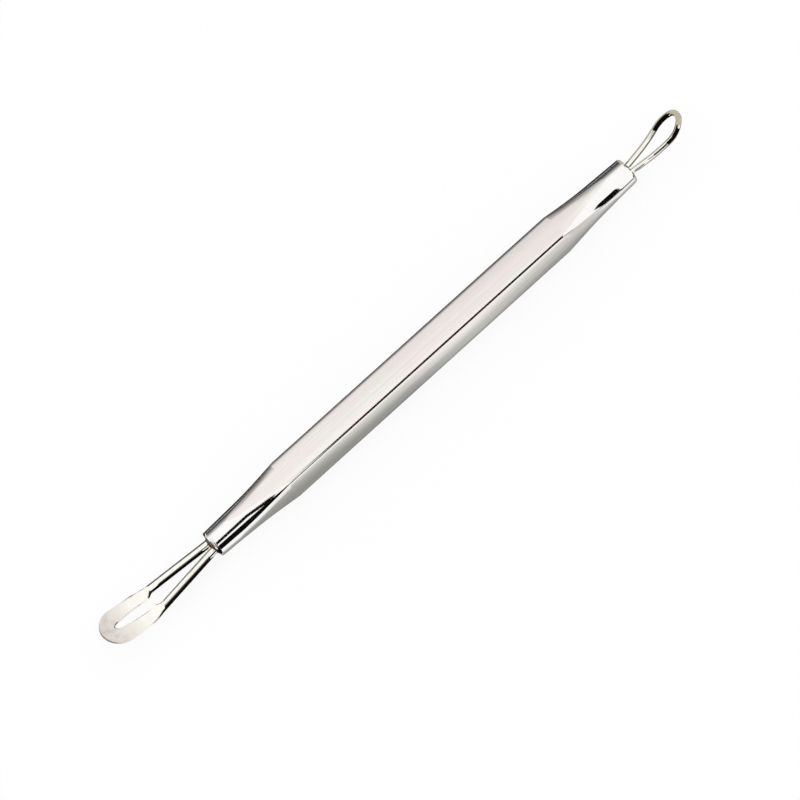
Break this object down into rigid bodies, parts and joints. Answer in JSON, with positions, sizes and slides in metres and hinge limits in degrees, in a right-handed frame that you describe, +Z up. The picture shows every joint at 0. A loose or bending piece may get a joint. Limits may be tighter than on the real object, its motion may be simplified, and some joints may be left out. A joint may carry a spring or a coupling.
{
  "type": "blackhead extractor",
  "caption": "Double-ended steel skin tool: a square bar handle with turned ends, a slotted flat loop at one end and a fine wire loop at the other.",
  "frame": {"origin": "centre of the handle's lower flat, midway between its two end faces", "axes": "+X along the handle towards the fine wire loop, +Y across the handle, +Z up out of its upper flat"},
  "size_m": [0.1204, 0.0066, 0.0059],
  "materials": {
    "handle_steel": "bright stainless steel with a fine lengthwise grain on the flats and a turned finish on the ends",
    "flat_loop_steel": "polished stainless wire, satin where it is hammered flat",
    "fine_loop_steel": "polished stainless wire",
    "braze": "silver braze, tarnished to a brown straw colour beside the steel"
  },
  "bodies": {
    "root": {"handle": "handle_steel", "flat_loop": "flat_loop_steel", "fine_loop": "fine_loop_steel", "flat_loop_filler": "braze", "fine_loop_filler": "braze"}
  },
  "joints": []
}
